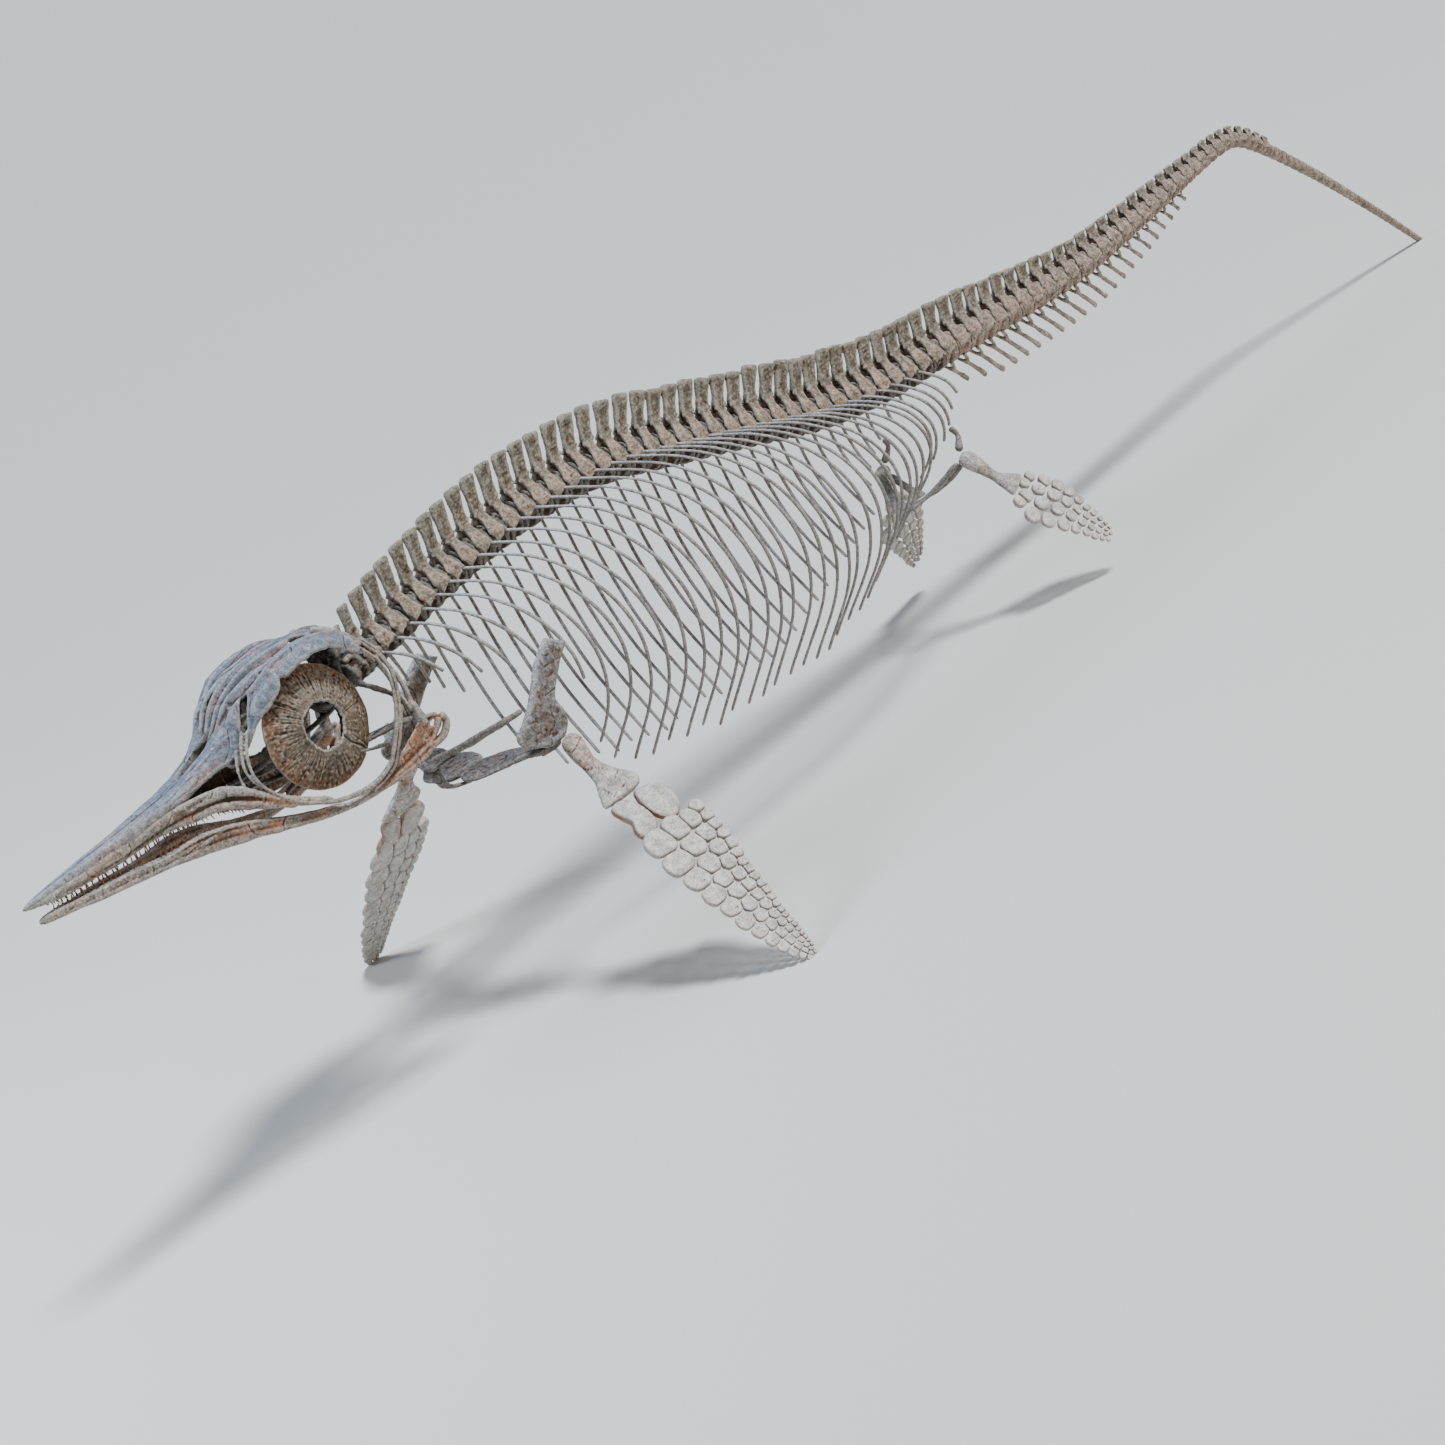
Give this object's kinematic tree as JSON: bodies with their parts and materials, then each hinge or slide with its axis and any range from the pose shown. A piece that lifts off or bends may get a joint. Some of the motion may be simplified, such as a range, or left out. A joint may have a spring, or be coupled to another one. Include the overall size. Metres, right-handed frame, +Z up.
{
  "type": "ichthyosaur skeleton",
  "caption": "Articulated fossil ichthyosaur skeleton with its long-snouted skull, ribs, paddles and down-bent tail, resting on both fore paddle tips and the end of the tail.",
  "frame": {"origin": "middle of the skeleton's box at the level of the surface it stands on", "axes": "+X towards the tail, +Y towards the animal's right side, +Z up"},
  "size_m": [4.33, 1.3578, 0.9347],
  "materials": {
    "trunk_bone": "satin",
    "tail_bone": "satin",
    "skull_bone": "satin",
    "jaw_bone": "satin",
    "ring_bone": "satin",
    "girdle_bone": "satin",
    "limb_bone": "satin"
  },
  "bodies": {
    "root": {"backbone_and_ribs_1": "trunk_bone", "backbone_and_ribs_2": "trunk_bone", "backbone_and_ribs_3": "trunk_bone", "backbone_and_ribs_4": "trunk_bone", "backbone_and_ribs_5": "trunk_bone", "backbone_and_ribs_6": "trunk_bone", "backbone_and_ribs_7": "trunk_bone", "backbone_and_ribs_8": "trunk_bone", "backbone_and_ribs_9": "trunk_bone", "backbone_and_ribs_10": "trunk_bone", "backbone_and_ribs_11": "trunk_bone", "tail_vertebrae_1": "tail_bone", "tail_vertebrae_2": "tail_bone", "tail_vertebrae_3": "tail_bone", "tail_vertebrae_4": "tail_bone", "tail_vertebrae_5": "tail_bone", "tail_vertebrae_6": "tail_bone", "fluke_vertebrae_1": "tail_bone", "fluke_vertebrae_2": "tail_bone", "cranium": "skull_bone", "lower_jaw": "jaw_bone", "sclerotic_ring_left": "ring_bone", "scapula_left": "girdle_bone", "coracoid_left": "girdle_bone", "clavicle_left": "girdle_bone", "ilium_left": "girdle_bone", "pubis_left": "girdle_bone", "ischium_left": "girdle_bone", "humerus_left": "limb_bone", "radius_left": "limb_bone", "ulna_left": "limb_bone", "fore_paddle_left": "limb_bone", "femur_left": "limb_bone", "hind_paddle_left": "limb_bone", "sclerotic_ring_right": "ring_bone", "scapula_right": "girdle_bone", "coracoid_right": "girdle_bone", "clavicle_right": "girdle_bone", "ilium_right": "girdle_bone", "pubis_right": "girdle_bone", "ischium_right": "girdle_bone", "humerus_right": "limb_bone", "radius_right": "limb_bone", "ulna_right": "limb_bone", "fore_paddle_right": "limb_bone", "femur_right": "limb_bone", "hind_paddle_right": "limb_bone", "interclavicle": "girdle_bone"}
  },
  "joints": []
}
